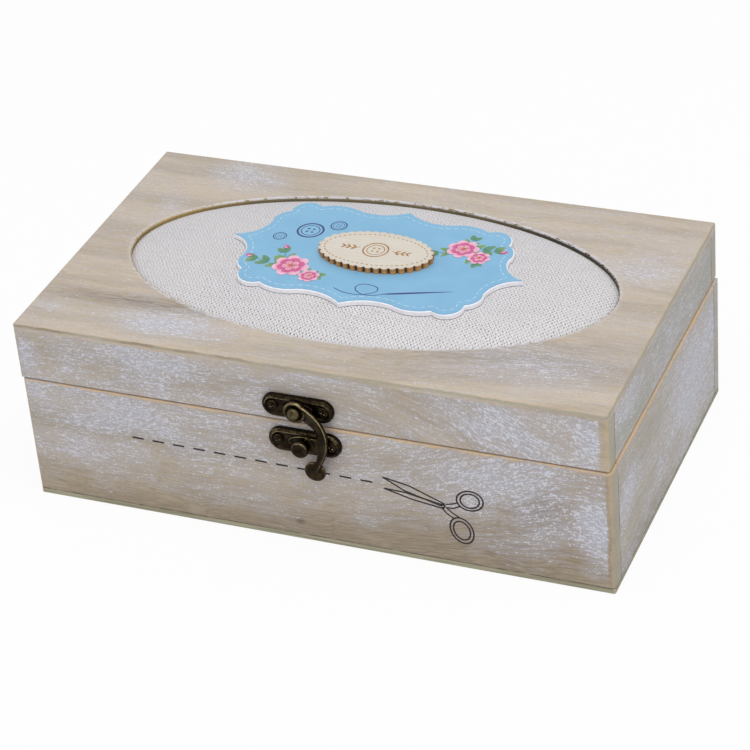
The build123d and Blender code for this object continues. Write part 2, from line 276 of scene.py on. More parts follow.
def whitewashed(name, form, drift, lime, along_y=False, swirl=None, patches=(), smudges_and_shade=(),
                joints=(), oval=False, rim=0.0, edge_under=0.0, grey=0.0,
                tans=(tan_pale, tan_deep)):
    """Limewashed board. Drift sets its grain apart from the others, lime is the wash it kept."""
    material, shader, place = surface("whitewashed_" + name, {"IOR": 1.45})
    x, y, z = add("SeparateXYZ", (place,)).outputs
    skin, arris, from_end = depths(place, form)

    # The grain leaves its line by the slope given past a first place, up to a second
    flowing = place
    if swirl:
        start, end, level, slope, across = swirl
        bend = add("MapRange", (x, start * mm, end * mm, 0, slope), interpolation_type="SMOOTHSTEP")
        above = add("Math", ({"Y": y, "Z": z}[across], level * mm), operation="SUBTRACT")
        sink = add("CombineXYZ", {across: overlap(bend, above)})
        flowing = add("VectorMath", (place, sink), operation="SUBTRACT")
    turn = (0, 0, math.pi / 2 if along_y else 0)
    board = add("Mapping", {"Vector": flowing, "Rotation": turn, "Location": drift})
    wave = add("TexNoise", {"Vector": board, "Scale": 22.0, "Detail": 2.0})
    wave = add("MapRange", (wave, 0, 1, -5 * mm, 5 * mm))
    wave = add("CombineXYZ", {"Y": wave, "Z": wave})
    board = add("VectorMath", (board, wave), operation="ADD")

    # Bare wood: broad bands, fine fibres, and darker streaks here and there
    fibres = marks(board, 11, 0.45, 0.36, 0.66, 3)
    wood = coats(tans[0], (tans[1], marks(board, 130, 13, 0.36, 0.64, 3)))
    if grey:
        wood = coats(wood, (end_grain, marks(board, 50, 20, 0.25, 0.6), grey))
    wood = coats(wood, (grain_dark, fibres, 0.18),
                 (grain_dark, marks(board, 30, 1.0, 0.60, 0.74, 3), 0.28))
    # Brown smudges, and painted shade where a board is darkened towards its bottom
    for centre, reach, depth in smudges_and_shade:
        wood = coats(wood, (smudge_and_shade_brown, spot(flowing, centre, reach),
                            heap(depth * 0.5, (fibres, depth * 0.6))))

    # Limewash: a thin film in clouds, thicker flecks in the brush marks
    washed = [(spot(place, centre, reach), more) for centre, reach, more in patches]
    amount = heap(lime * 0.35 - 0.16, (marks(board, 38, 18, 0.30, 0.70, 3), lime),
                  (marks(board, 14, 0.8, 0.35, 0.65, 2), 0.40), *washed)
    film = add("Math", (amount, 0.74), operation="MULTIPLY", use_clamp=True)
    coat = add("Math", (amount, 0.85), operation="MINIMUM")
    brush = heap(marks(board, 2.6, 0.36, 0, 1, 3), (marks(board, 0.8, 0.6, 0, 1, 1), 0.6),
                 (coat, 0.42))
    flecks = add("MapRange", (brush, 1.13, 1.31), interpolation_type="SMOOTHSTEP")
    pores = marks(board, 1.8, 0.36, 0.48, 0.72, 2)

    # Sanded arrises, rims and the inside have lost it all
    worn = marks(place, 7, 7, 0.2, 0.8, 3)
    edge = heap(arris, (worn, -1.5 * mm))
    bare = add("MapRange", (edge, 1.0 * mm, -0.2 * mm, 0, 0.55), interpolation_type="SMOOTHSTEP")
    inside = add("MapRange", (skin, 1.6 * mm, 2.0 * mm))
    lip = 0.0
    if rim:
        lip = heap(z, (worn, 1.1 * mm))
        lip = add("MapRange", (lip, rim - 0.2 * mm, rim + 0.2 * mm, 0, 0.85))
        lip = overlap(lip, heap(0.4, (marks(place, 60, 60, 0.35, 0.6), 0.6)))

    # Cut edge of the lid's top, or the end grain of the other boards
    if edge_under:
        edge_z = heap(z, (marks(place, 7, 7, 0.3, 0.7), 0.2 * mm))
        cut = add("MapRange", (edge_z, edge_under - 0.05 * mm, edge_under - 0.3 * mm, 0, 0.85))
        faded = add("MapRange", (edge_z, edge_under - 1.5 * mm, edge_under - 0.7 * mm))
        cut = overlap(cut, faded)
        dark = add("MapRange", (x, 10 * mm, -60 * mm, 0.1, 0.8))
        cut_colour = coats(edge_green, (edge_dark, dark, marks(place, 18, 9, 0.30, 0.55)))
    else:
        cut = add("MapRange", (from_end, 0.35 * mm, 0.1 * mm, 0, 0 if along_y else 0.8))
        cut = overlap(cut, heap(0.5, (marks(place, 5, 2.5, 0.35, 0.65), 0.5)))
        cut_colour = end_grain
    kept = bare
    for lost in (inside, lip, cut):
        kept = add("Math", (kept, lost), operation="MAXIMUM")
    kept = add("Math", (1.0, kept), operation="SUBTRACT", use_clamp=True)
    film, flecks = overlap(film, kept), overlap(flecks, kept)
    wood = coats(wood, (tan_bare, bare, 0.65), (rim_peach, lip), (cut_colour, cut),
                 (tan_inside, inside, 0.65))
    if oval:
        wood, film, flecks = sawn_rim(place, wood, film, flecks)
    colour = coats(wood, (lime_film, film), (grain_dark, pores, 0.20), (lime_white, flecks, 0.66))

    # Joints: a thin dark line where two boards meet
    for axis, at in joints:
        aside = add("Math", ((x, y, z)[axis], at), operation="SUBTRACT")
        aside = add("Math", (aside,), operation="ABSOLUTE")
        line = add("MapRange", (aside, 0.75 * mm, 0.30 * mm, 0, 0.9))
        colour = coats(colour, (joint_dark, line, marks(place, 6, 6, 0.25, 0.6)))
    rough = add("MapRange", (flecks, 0, 1, 0.72, 0.92))
    dress(shader, colour, heap(fibres, (flecks, 0.8)), 0.35, 0.12, Roughness=rough)
    return material


def sawn_rim(place, wood, film, flecks):
    """Sawn wall of the oval opening: tan, with painted shade darkening its right end, which faces
    away from the light, and its lower part where it meets the canvas, with torn limewash along its
    lip."""
    middle, half = span("pad_wadding")
    gap = Vector((0.9, 0.9, 0)) * mm       # clearance and cloth between the wadding and the wall
    ring, out = in_oval(place, middle, half + gap)
    across = add("SeparateXYZ", (ring,)).outputs["X"]
    height = add("SeparateXYZ", (place,)).outputs["Z"]
    top = top_high.z
    near = add("Math", (out, 1.03), operation="LESS_THAN")
    wall = add("MapRange", (height, top - 0.02 * mm, top - 0.06 * mm))
    wall = overlap(wall, near)
    # Painted shade: the wall darkens towards its right end, which faces away from the light
    burnt = add("MapRange", (across, 0.10, 0.75))
    burnt = add("Math", (marks(place, 30, 30, 0.35, 0.65), 0.25, burnt), operation="MULTIPLY_ADD",
                use_clamp=True)
    grey_part = add("MapRange", (across, -0.85, -0.55, 0, 0.8))
    # Painted shade: the wall's lower part, where it meets the canvas, is darker, more so towards the
    # right end
    canvas_edge_shade = heap(height, (marks(place, 9, 9, 0.3, 0.7), 0.3 * mm))
    canvas_edge_shade = add("MapRange", (canvas_edge_shade, top - 0.6 * mm, top - 1.1 * mm))
    sawn = coats("#BFA468", ("#8E8468", grey_part), ("#4A4235", burnt),
                 ("#443A2C", canvas_edge_shade, heap(0.35, (burnt, 0.5))))
    wood = coats(wood, (sawn, wall))
    lip = add("MapRange", (out, 1.022, 1.007))
    aside = add("Math", (across,), operation="ABSOLUTE")
    inward = add("MapRange", (aside, 0.95, 0.45, 0.25, 1))
    above = add("MapRange", (height, top - 0.7 * mm, top - 0.3 * mm, 0, 1.9))
    torn = overlap(lip, marks(place, 2.6, 1.2, 0.38, 0.54, 3), inward)
    torn = add("Math", (torn, above), operation="MULTIPLY", use_clamp=True)
    face = add("Math", (1.0, wall), operation="SUBTRACT")
    flecks = add("Math", (overlap(flecks, face), torn), operation="MAXIMUM")
    return wood, overlap(film, face), flecks


# Patches have a centre, a reach and how much more wash they kept, smudges and painted shade a
# centre, a reach and how dark they are, all in mm. Along the bottom of the base's front, the wide
# patch with less wash and the two wide smudges are painted shade, darkening the board's lower part.
side_joints = [(1, butt_y), (1, -butt_y)]
boards = {
    "base_front_board": dict(
        form=base_form, drift=(0.31, 0.0, 0.17), lime=0.6, swirl=(5, 100, -8, 0.42, "Z"),
        rim=seam_low, joints=[(2, low_z)],
        patches=[((70, -70, 44), (60, 20, 14), 0.5), ((115, -70, 24), (12, 20, 28), 1.0),
                 # Painted shade: the patch along the whole bottom, with less wash, darkens the
                 # board's lower part
                 ((-80, -70, 47), (55, 20, 14), 0.6), ((0, -70, 0), (260, 20, 26), -0.9),
                 ((120, -70, 30), (3, 30, 60), -3.0)],
        smudges_and_shade=[((92, -70, 17), (16, 20, 8), 0.9), ((-6.5, -70, 8.7), (3.0, 20, 2.2), 1.6),
                 # Painted shade: these two wide smudges along the bottom darken the board's lower
                 # part
                 ((-40, -70, 0), (150, 20, 32), 0.6), ((70, -70, 0), (110, 20, 26), 0.6)]),
    "base_back_board": dict(
        form=base_form, drift=(0.11, 0.3, 0.42), lime=0.7, rim=seam_low, joints=[(2, low_z)]),
    "base_left_board": dict(
        form=base_form, drift=(0.52, 0.7, 0.23), lime=0.7, along_y=True, rim=seam_low,
        joints=[(2, low_z), *side_joints]),
    "base_right_board": dict(
        form=base_form, drift=(0.77, 0.2, 0.61), lime=0.6, along_y=True, rim=seam_low, grey=0.4,
        joints=[(2, low_z), *side_joints],
        patches=[((120, 34, 34), (30, 50, 22), 0.9), ((120, -52, 40), (30, 16, 16), 0.4)],
        smudges_and_shade=[((120, -40, 4), (30, 46, 14), 0.7)]),
    "lid_front_rail": dict(
        form=lid_form, drift=(0.05, 0.0, 0.87), lime=0.6, swirl=(10, 110, 130, 0.42, "Z"),
        patches=[((-62, -70, 72), (60, 20, 10), 0.45), ((84, -70, 66), (50, 20, 16), 0.55),
                 ((112, -70, 66), (8, 20, 18), 0.7), ((-117, -70, 67), (8, 20, 14), 0.7),
                 ((119.5, -70, 68), (4.5, 30, 40), -3.0)]),
    "lid_back_rail": dict(form=lid_form, drift=(0.64, 0.5, 0.09), lime=0.7),
    "lid_left_rail": dict(
        form=lid_form, drift=(0.22, 0.1, 0.35), lime=0.7, along_y=True, joints=side_joints),
    "lid_right_rail": dict(
        form=lid_form, drift=(0.93, 0.4, 0.72), lime=0.5, along_y=True, grey=0.9,
        joints=side_joints, patches=[((120, -50, 70), (30, 24, 10), 0.5)]),
    "lid_top_board": dict(
        form=lid_form, drift=(0.45, 0.85, 0.5), lime=0.22, swirl=(0, 118, 70, -0.10, "Y"),
        oval=True, edge_under=top_high.z, tans=("#CFC0AD", "#BBAD9A"),
        patches=[((-60, -56, 80), (32, 13, 9), 1.1), ((-78, 58, 80), (24, 16, 9), 0.7),
                 ((-99, 29, 80), (8, 12, 9), 0.5), ((104, 28, 80), (20, 14, 9), 0.5),
                 ((80, -46, 80), (50, 20, 9), 0.5), ((-112, -54, 80), (10, 5, 9), 0.5)],
        smudges_and_shade=[((-76, -43, 80), (56, 7, 30), 0.9), ((75, -50, 80), (80, 22, 30), 0.7),
                 ((24, -60, 80), (64, 14, 30), 0.2)]),
}
for node, look in boards.items():
    give(node, whitewashed(node, **look))


# Bottom panel: thin plywood glued under the walls. Its cut edge shows all round as a
# greenish grey line, and its face is bare inside.
plywood, shader, place = surface("bottom_plywood", {"Roughness": 0.8})
fibres = marks(place, 14, 0.6, 0.35, 0.65, 3)
edge = coats("#ABA790", ("#918D76", marks(place, 25, 0.8, 0.35, 0.65, 2)))
face = coats("#CDB894", (tan_deep, fibres))
tall_form = [corner + Vector((0, 0, lift)) for corner, lift in zip(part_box("bottom_panel"), (-1, 1))]
flat = add("MapRange", (depths(place, tall_form)[0], 0.2 * mm, 0.4 * mm))
dress(shader, coats(edge, (face, flat)), fibres, 0.3, 0.1)
give("bottom_panel", plywood)


# Dividers and backing board: strips of bare sanded wood let into the base, and a sheet of brown
# fibreboard pressed up under the pad.
def bare_wood(name, pale, deep, length, width, along_y=False):
    """Sanded wood without a finish. Length and width are its grain's, in mm."""
    material, shader, place = surface(name, {"Roughness": 0.75, "IOR": 1.45})
    turn = (0, 0, math.pi / 2 if along_y else 0)
    board = add("Mapping", {"Vector": place, "Rotation": turn, "Location": (0.4, 0.6, 0.2)})
    bands = marks(board, length * 6, width * 8, 0.35, 0.65, 3)
    fibres = marks(board, length, width, 0.35, 0.65, 3)
    colour = coats(pale, (deep, heap(fibres, (bands, 0.5)), 0.6))
    dress(shader, colour, fibres, 0.3, 0.1)
    return material


cross_pine = bare_wood("divider_pine_cross", "#DCC7A0", "#BFA679", 16, 0.6, True)
give("long_divider", bare_wood("divider_pine_long", "#DCC7A0", "#BFA679", 16, 0.6))
give("cross_divider_1", cross_pine)
give("cross_divider_2", cross_pine)
give("pad_backing_board", bare_wood("backing_fibreboard", "#9C8563", "#7B6647", 2.5, 1.2))


# Pad: off-white cotton canvas stretched over soft wadding, pressed up through the oval from
# inside by the backing board, with its margin held flat between that board and the lid's top.
cloth = 0.5 * mm
pad_rings = 26
pad_spokes = 96
pressed_rise = 1.9 * mm  # of the pad's flat seat above its rim, where the plaque presses it
free_rise = 4.5 * mm     # that the wadding would have without the plaque
touch = 0.05 * mm        # left between surfaces that lie on each other
canvas_low, canvas_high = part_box("pad_fabric")
oval_centre, margin_half = span("pad_fabric")
dome_half = span("pad_wadding")[1] + Vector((0.25, 0.25, 0)) * mm
rim_height = canvas_high.z - cloth / 2 - pressed_rise
margin_height = canvas_low.z + cloth / 2 + touch


def keep(name, bm, body, material):
    """Makes the finished mesh a piece that rides on a body and takes its finish from a slot."""
    piece = meshed(name, bm)
    piece.data.materials.append(material)
    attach(piece, body)
    return piece


def evaluated(piece):
    """Mesh of a piece with its modifiers applied. The piece itself is taken away."""
    seen = piece.evaluated_get(bpy.context.evaluated_depsgraph_get())
    mesh = bpy.data.meshes.new_from_object(seen)
    bpy.data.objects.remove(piece)
    return mesh


def only(kind, parts):
    """The vertices, edges or faces among the parts that an operator gave."""
    return [part for part in parts if isinstance(part, kind)]


def face_up(bm):
    """Turns the faces of an open sheet upwards."""
    bmesh.ops.recalc_face_normals(bm, faces=bm.faces)
    if sum(face.normal.z for face in bm.faces) < 0:
        bmesh.ops.reverse_faces(bm, faces=bm.faces)


# Spokes of canvas about the oval's middle, blown up by the wadding while the rim is held
bm = bmesh.new()
spoke = [bm.verts.new((dome_half.x * ring / pad_rings, 0, 0)) for ring in range(pad_rings + 1)]
for inner, outer in zip(spoke, spoke[1:]):
    bm.edges.new((inner, outer))
bmesh.ops.spin(bm, geom=bm.verts[:] + bm.edges[:], axis=(0, 0, 1), cent=(0, 0, 0), steps=pad_spokes,
               angle=math.tau, use_merge=True)
bmesh.ops.remove_doubles(bm, verts=bm.verts, dist=0.01 * mm)
bmesh.ops.scale(bm, vec=(1, dome_half.y / dome_half.x, 1), verts=bm.verts)
face_up(bm)
dome = meshed("pad_dome", bm)
outs = [math.hypot(vertex.co.x / dome_half.x, vertex.co.y / dome_half.y)
        for vertex in dome.data.vertices]
held = dome.vertex_groups.new(name="held")
held.add([number for number, out in enumerate(outs) if out > 0.999], 1.0, "REPLACE")
blown = dome.modifiers.new("cloth", "CLOTH")
blown.settings.vertex_group_mass = "held"
blown.settings.use_pressure = True
blown.settings.uniform_pressure_force = 4
blown.settings.effector_weights.gravity = 0
blown.point_cache.frame_end = 20
for number in range(1, 21):
    bpy.context.scene.frame_set(number)
pad_mesh = evaluated(dome)
bpy.context.scene.frame_set(1)

# The rise is scaled to the real one, and levels off smoothly at the seat that the plaque presses
top_rise = max(vertex.co.z for vertex in pad_mesh.vertices)
for vertex in pad_mesh.vertices:
    rise = free_rise * vertex.co.z / top_rise
    vertex.co.z = pressed_rise * (1 - math.exp(-((rise / pressed_rise) ** 3))) ** (1 / 3)

bm = bmesh.new()
bm.from_mesh(pad_mesh)
bmesh.ops.translate(bm, vec=(oval_centre.x, oval_centre.y, rim_height), verts=bm.verts)
wadding_bm = bm.copy()
rim = [edge for edge in bm.edges if edge.is_boundary]
for half in (dome_half.x + 0.15 * mm, margin_half.x - 0.1 * mm):
    grown = bmesh.ops.extrude_edge_only(bm, edges=rim)["geom"]
    rim = only(bmesh.types.BMEdge, grown)
    for vertex in only(bmesh.types.BMVert, grown):
        aside = (vertex.co - oval_centre).xy
        aside *= 1 + (half - dome_half.x) / aside.length
        vertex.co = (oval_centre.x + aside.x, oval_centre.y + aside.y, margin_height)
face_up(bm)
for face in bm.faces:
    face.smooth = True

# Cotton canvas in plain weave, unbleached: matt, with painted shade in the pinholes between its
# threads and painted highlight on the threads' crowns, thicker slubs here and there and a faint rosy
# grey cast. Its threads, two in each mm, are too fine to show, so it is drawn with threads 0.8 and
# 1.1 mm apart, as the rows that they make.
thread_rows = (          # turns in each mm along X and Y, and strength
    (0.69, 0.49, 1.0),       # rows that slant one way
    (0.52, -0.42, 0.95),     # and the other
    (0.605, 0.035, 0.4),     # the warp's pairs
    (1.23, 0.11, 0.55),      # its single threads
    (1.01, 0.83, 0.55),      # the finer slant between them
)
canvas, shader, place = surface("cotton_canvas", {
    "Roughness": 0.95, "Specular IOR Level": 0.25, "Sheen Weight": 0.15, "Sheen Roughness": 0.6})
stray = add("TexNoise", {"Vector": place, "Scale": 260.0, "Detail": 2.0})
stray = add("MapRange", (stray, 0, 1, -0.65 * mm, 0.65 * mm))
lie = add("VectorMath", (place, stray), operation="ADD")
weave = 0.0
for along, across, strength in thread_rows:
    turns = add("VectorMath", (lie, Vector((along, across, 0)) * math.tau / mm),
                operation="DOT_PRODUCT").outputs["Value"]
    weave = heap(weave, (add("Math", (turns,), operation="COSINE"), strength))
x, y, z = add("SeparateXYZ", (place,)).outputs
# Painted shade: the canvas greyer, and its pinholes fainter, towards the back and the left
lit = overlap(add("MapRange", (y, 40 * mm, -35 * mm, 0.4, 1)),
              add("MapRange", (x, -95 * mm, -15 * mm, 0.45, 1)))
hole = overlap(add("MapRange", (weave, 1.1, 2.0)),
               heap(0.25, (marks(place, 1.0, 0.9, 0.36, 0.62, 2), 0.75)),
               heap(0.65, (marks(place, 34, 22, 0.30, 0.62), 0.35)), lit)
# Painted highlight: the threads' crowns are lighter; the same crowns give the relief
crown_and_highlight = add("MapRange", (weave, 0.5, -1.3))
colour = coats("#D6D3D3",
               ("#CFCDD0", marks(place, 60, 40, 0.35, 0.65)),            # uneven tone
               ("#F9F7F9", crown_and_highlight, 0.70),
               ("#B9B7BE", heap(1.0, (lit, -1.0)), 0.42),
               ("#B5B0B0", marks(place, 0.45, 0.45, 0.30, 0.70, 1), 0.16),   # fluff
               ("#B9B0AA", marks(place, 12, 0.8, 0.52, 0.70, 3), 0.3),       # slubs
               ("#B9B0AA", marks(place, 0.8, 9, 0.52, 0.70, 3), 0.2),
               ("#2C2626", hole))
dress(shader, colour, heap(crown_and_highlight, (hole, -1.2)), 0.7, 0.15)

canvas_piece = keep("pad_canvas", bm, "lid", canvas)
thick = canvas_piece.modifiers.new("thickness", "SOLIDIFY")
thick.thickness = cloth
thick.offset = 0
smooth = canvas_piece.modifiers.new("smooth", "SUBSURF")
smooth.levels = 1
smooth.render_levels = 1
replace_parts(canvas_piece, "pad_fabric")

# Polyester wadding under it, white and fibrous
wadding, shader, place = surface("polyester_wadding", {"Roughness": 1.0, "Sheen Weight": 0.3})
tufts = marks(place, 4, 1.2, 0.35, 0.65, 4)
dress(shader, coats("#E4E3E0", ("#F2F1EE", tufts)), tufts, 0.5, 0.5)
bm = wadding_bm
bmesh.ops.scale(bm, vec=(0.996, 0.994, 1), verts=bm.verts,
                space=Matrix.Translation((-oval_centre.x, -oval_centre.y, 0)))
bmesh.ops.translate(bm, vec=(0, 0, -cloth / 2 - touch), verts=bm.verts)
rim = [edge for edge in bm.edges if edge.is_boundary]
grown = bmesh.ops.extrude_edge_only(bm, edges=rim)["geom"]
for vertex in only(bmesh.types.BMVert, grown):
    vertex.co.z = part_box("pad_wadding")[0].z + touch
bmesh.ops.contextual_create(bm, geom=only(bmesh.types.BMEdge, grown))
bmesh.ops.recalc_face_normals(bm, faces=bm.faces)
filling = keep("pad_filling", bm, "lid", wadding)
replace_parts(filling, "pad_wadding")


# Plaque: thin fibreboard cut to a bracket shape and painted white, with a printed sheet glued
# on it. A stitched line runs inside the edge, and the print is a generic set of blossoms,
# buttons, and a needle and thread.
plaque_low, plaque_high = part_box("plaque_board")
plaque_middle = span("plaque_board")[0]
print_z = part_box("plaque_face")[1].z
plaque_turn = math.radians(-2.3)
plaque_round = 0.5 * mm
stitch_inset = 2.4 * mm
stitch = 2.1 * mm
stitch_gap = 1.15 * mm
ink_film = 0.02 * mm
ink_step = 0.008 * mm    # between inks printed over each other


def merged(node, above=-1.0):
    """Copy of a CAD node's faces above a height, its loose triangles joined into whole faces."""
    bm = bmesh.new()
    bm.from_mesh(nodes[node].data)
    bmesh.ops.remove_doubles(bm, verts=bm.verts, dist=0.001 * mm)
    lower = [face for face in bm.faces if face.calc_center_median().z < above]
    bmesh.ops.delete(bm, geom=lower, context="FACES")
    bmesh.ops.dissolve_limit(bm, angle_limit=math.radians(1), verts=bm.verts, edges=bm.edges)
    return bm


painted, shader, place = surface("white_painted_fibreboard", {"Roughness": 0.55})
dust = marks(place, 1.6, 1.6, 0.35, 0.7, 3)
height = add("SeparateXYZ", (place,)).outputs["Z"]
# Painted shadow: the lowest 0.35 mm of the board's edge is darkened where it sits on the canvas
low = add("MapRange", (height, plaque_low.z + 0.35 * mm, plaque_low.z + 0.15 * mm, 0, 0.95))
colour = coats("#FBFBFF", ("#EFEFF8", dust), ("#5F575A", low))
dress(shader, colour, dust, 0.25, 0.08)
bm = merged("plaque_board")
top = [edge for edge in bm.edges if all(v.co.z > plaque_high.z - 0.01 * mm for v in edge.verts)]
bmesh.ops.bevel(bm, geom=top, offset=plaque_round, segments=3, profile=0.5, affect="EDGES",
                material=-1, clamp_overlap=True)
for face in bm.faces:
    face.smooth = 0.01 < face.normal.z < 0.99
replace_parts(keep("plaque_rounded_board", bm, "lid", painted), "plaque_board")

# Printed paper, satin: an even sky blue with a faint mottle from the press
sheet, shader, place = surface("printed_paper", {"Roughness": 0.42, "Specular IOR Level": 0.4})
tooth = marks(place, 0.5, 0.5, 0.3, 0.7)
colour = coats("#79B0D5", ("#81B7DA", marks(place, 14, 14, 0.3, 0.7, 4)), ("#B9DCE6", tooth, 0.10))
dress(shader, colour, tooth, 0.1, 0.03)
give("plaque_face", sheet)


def ink(name, pale, deep):
    """Printed ink that runs from its pale tone to its deep one along the shape, finely grained."""
    material, shader, place = surface(name, {"Roughness": 0.42, "Specular IOR Level": 0.4})
    tint = add("Attribute", attribute_name="tint").outputs["Fac"]
    brushed = heap(tint, (marks(place, 0.9, 0.9, 0.3, 0.7, 3), 0.35))
    brushed = add("MapRange", (brushed, 0.1, 1.2))
    wire(shader, {"Base Color": coats(pale, (deep, brushed))})
    return material


def tint_layer(bm):
    """How deep the ink's tone is at each vertex."""
    return bm.verts.layers.float.get("tint") or bm.verts.layers.float.new("tint")


def put(bm, shape, place=(0, 0, 0), turn=0.0, size=(1, 1, 1)):
    """Sizes a shape's vertices, turns them about the upright axis and moves them into place."""
    bmesh.ops.scale(bm, verts=shape, vec=size)
    bmesh.ops.rotate(bm, verts=shape, matrix=Matrix.Rotation(turn, 3, "Z"))
    bmesh.ops.translate(bm, verts=shape, vec=place)


def leaf(bm, root, heading, length, width, level, taper=0.0, deep=(1.0, 0.0)):
    """Flat petal or leaf from its root, with an ink tone at its root and at its tip."""
    tint = tint_layer(bm)
    ring = bmesh.ops.create_circle(bm, cap_ends=True, segments=14, radius=0.5)["verts"]
    for vertex in ring:
        along = vertex.co.x + 0.5
        side = vertex.co.y * (1 + taper * (along - 0.5))
        vertex[tint] = deep[0] + (deep[1] - deep[0]) * along
        vertex.co = (along * length, side * width, 0)
    put(bm, ring, (*root.xy, level * ink_step), heading)


def flat_line(bm, points, width, level=0, closed=False, deep=1.0):
    """Line of ink along a smooth curve through the points, as thick as the ink's film."""
    curve = bpy.data.curves.new("line", "CURVE")
    curve.dimensions = "3D"
    curve.bevel_depth = width / 2
    curve.bevel_resolution = 1
    curve.resolution_u = 5
    curve.use_fill_caps = True
    spline = curve.splines.new("BEZIER")
    spline.bezier_points.add(len(points) - 1)
    spline.use_cyclic_u = closed
    for point, place in zip(spline.bezier_points, points):
        point.co = place
        point.handle_left_type = "AUTO"
        point.handle_right_type = "AUTO"
    mesh = evaluated(stood("line", curve))
    tint = tint_layer(bm)
    before = len(bm.verts)
    bm.from_mesh(mesh)
    bm.verts.ensure_lookup_table()
    for vertex in bm.verts[before:]:
        vertex.co.z = vertex.co.z * ink_film / width + level * ink_step
        vertex[tint] = deep


def at_mm(x, y):
    """Point of a drawing that is laid out in mm."""
    return Vector((x, y, 0)) * mm


def ahead(place, length, heading):
    """Point at that length from a place, along a heading."""
    return place + Vector((math.cos(heading), math.sin(heading), 0)) * length


def around(centre, along, across, count, tilt=0.0):
    """Points round an oval of those half widths, turned by a tilt."""
    tilted = Matrix.Rotation(tilt, 3, "Z")
    turns = (number * math.tau / count for number in range(count))
    return [centre + tilted @ Vector((along * math.cos(a), across * math.sin(a), 0)) for a in turns]


def button(bm, centre, size, inner, rim, hole, level):
    """Drawn button: a rim, and an inner ring round four holes, in shares of its size."""
    flat_line(bm, around(centre, size, size, 12), rim * size, closed=True)
    flat_line(bm, around(centre, inner * size, inner * size, 12), 0.07 * size, closed=True)
    for number in range(4):
        middle = ahead(centre, 0.3 * size, math.pi / 4 + number * math.pi / 2)
        leaf(bm, middle - Vector((hole * size / 2, 0, 0)), 0, hole * size, hole * size, level)


def dashes(bm, outline, length, gap, width, height, closed=True):
    """Bars laid end to end along an outline, with gaps between them."""
    ends = outline[1:] + outline[:1] if closed else outline[1:]
    runs = list(zip(outline, ends))
    total = sum((end - start).length for start, end in runs)
    count = round(total / (length + gap))
    for number in range(count):
        tips = []
        for at in (number / count * total, number / count * total + length):
            for start, end in runs:
                if at <= (end - start).length:
                    tips.append(start.lerp(end, at / (end - start).length))
                    break
                at -= (end - start).length
        if len(tips) < 2:
            continue
        first, last = tips
        along = last - first
        bar = bmesh.ops.create_cube(bm, size=1)["verts"]
        put(bm, bar, (first + last) / 2, math.atan2(along.y, along.x),
            (along.length, width, height))


# Stitched line: short white dashes along the sheet's outline, moved in from its edge
bm = merged("plaque_face", print_z - 0.01 * mm)
bmesh.ops.inset_region(bm, faces=bm.faces, thickness=stitch_inset, use_boundary=True,
                       use_even_offset=True)
inner = max(bm.faces, key=lambda face: face.calc_area())
edge = [vertex.co.copy() for vertex in bm.verts if vertex.is_boundary]
outline = [vertex.co.copy() for vertex in inner.verts]
outline = [point for point in outline if min((point - other).length
                                             for other in edge) > 0.9 * stitch_inset]
bm.free()
white_ink, shader, place = surface("white_ink", {"Roughness": 0.5})
colour = coats("#D3E6F3", ("#A6CCE6", marks(place, 0.8, 0.8, 0.3, 0.7)))
wire(shader, {"Base Color": colour})
bm = bmesh.new()
dashes(bm, outline, stitch, stitch_gap, 0.28 * mm, ink_film)
keep("plaque_stitches", bm, "lid", white_ink)

# Blossoms: two open ones and buds at the upper right, two open ones and buds at the lower left.
# Each open one has rings of petals from the outside in, then a ring of pollen dots.
tones = {"petal_ink": ("#F3C9DD", "#C83A7C"), "deep_petal_ink": ("#E06FA5", "#9E2258"),
         "leaf_ink": ("#8FA860", "#2F7A68"), "pollen_ink": ("#F2D27A", "#C98A3A"),
         "navy_ink": ("#3A4688", "#2E3872")}
inks = {name: ink(name, *pair) for name, pair in tones.items()}
drawn = {name: bmesh.new() for name in inks}
petal_rings = (     # petals, their reach and width, ink, and its tone at the root and the tip
    (7, 1.0, 0.62, "petal_ink", (0.9, 0.0)),
    (6, 0.74, 0.52, "deep_petal_ink", (0.9, 0.1)),
    (5, 0.46, 0.36, "petal_ink", (1.0, 0.2)),
)
bud_leaves = (      # ink, turn, length, width, level, taper and tone
    ("deep_petal_ink", 0.0, 0.62, 0.42, 11, -0.3, (1.0, 0.2)),
    ("petal_ink", 0.2, 0.48, 0.2, 12, -0.3, (0.8, 0.0)),
    ("leaf_ink", 0.5, 0.34, 0.16, 13, 0.0, (1.0, 0.6)),
    ("leaf_ink", -0.5, 0.34, 0.16, 14, 0.0, (1.0, 0.6)),
)
levels = iter(range(1, 60))


def blossom(centre, size, turn, lift=0.0):
    """Open flower of three rings of petals about a ring of pollen."""
    for number, (count, reach, width, name, deep) in enumerate(petal_rings):
        for petal in range(count):
            leaf(drawn[name], centre, turn + number * 0.5 + petal * math.tau / count, size * reach,
                 size * width, 15 + 2 * number + petal % 2 + lift, taper=0.9, deep=deep)
    for dot in range(6):
        heading = turn + dot * math.tau / 6
        leaf(drawn["pollen_ink"], ahead(centre, 0.10 * size, heading), heading, 0.14 * size,
             0.10 * size, 22)


